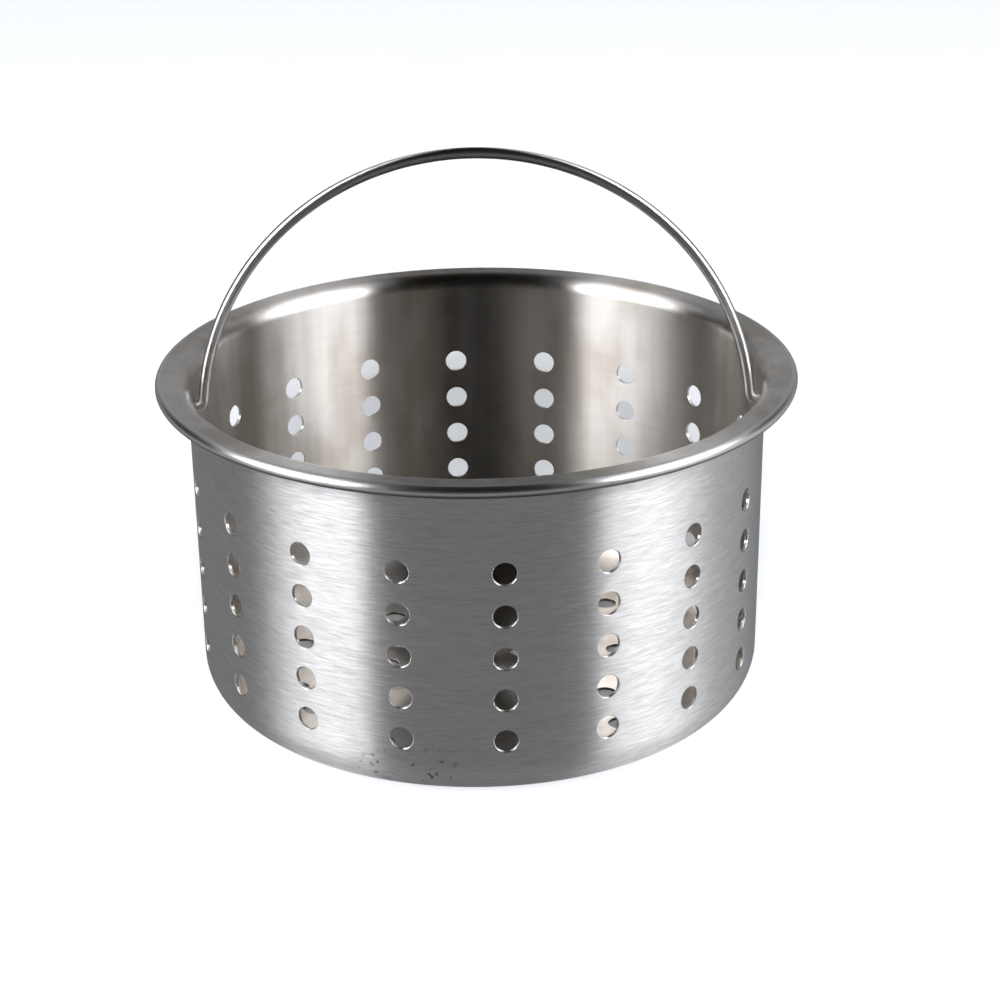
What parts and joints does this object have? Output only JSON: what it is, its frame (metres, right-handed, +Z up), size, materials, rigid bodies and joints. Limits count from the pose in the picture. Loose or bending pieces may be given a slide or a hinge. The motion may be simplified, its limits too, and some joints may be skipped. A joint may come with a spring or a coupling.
{
  "type": "strainer basket",
  "caption": "Round perforated stainless strainer basket with a flared, rolled rim and a swinging wire bail handle.",
  "frame": {"origin": "centre of the floor's underside, on the cup's axis", "axes": "+Z up along the cup's axis, X along the bail's pivot axis"},
  "size_m": [0.111, 0.111, 0.0971],
  "materials": {
    "basket_steel": "fine brushing round the cup, satin, with a brighter rolled bead",
    "handle_wire": "bright drawn wire, near polished"
  },
  "bodies": {
    "cup": {"basket": "basket_steel"},
    "bail": {"bail_handle": "handle_wire"}
  },
  "joints": [
    {"name": "bail_hinge", "type": "hinge", "parent": "cup", "child": "bail", "pos_m": [0, 0, 0.0514], "axis": [1, 0, 0], "continuous": true}
  ]
}
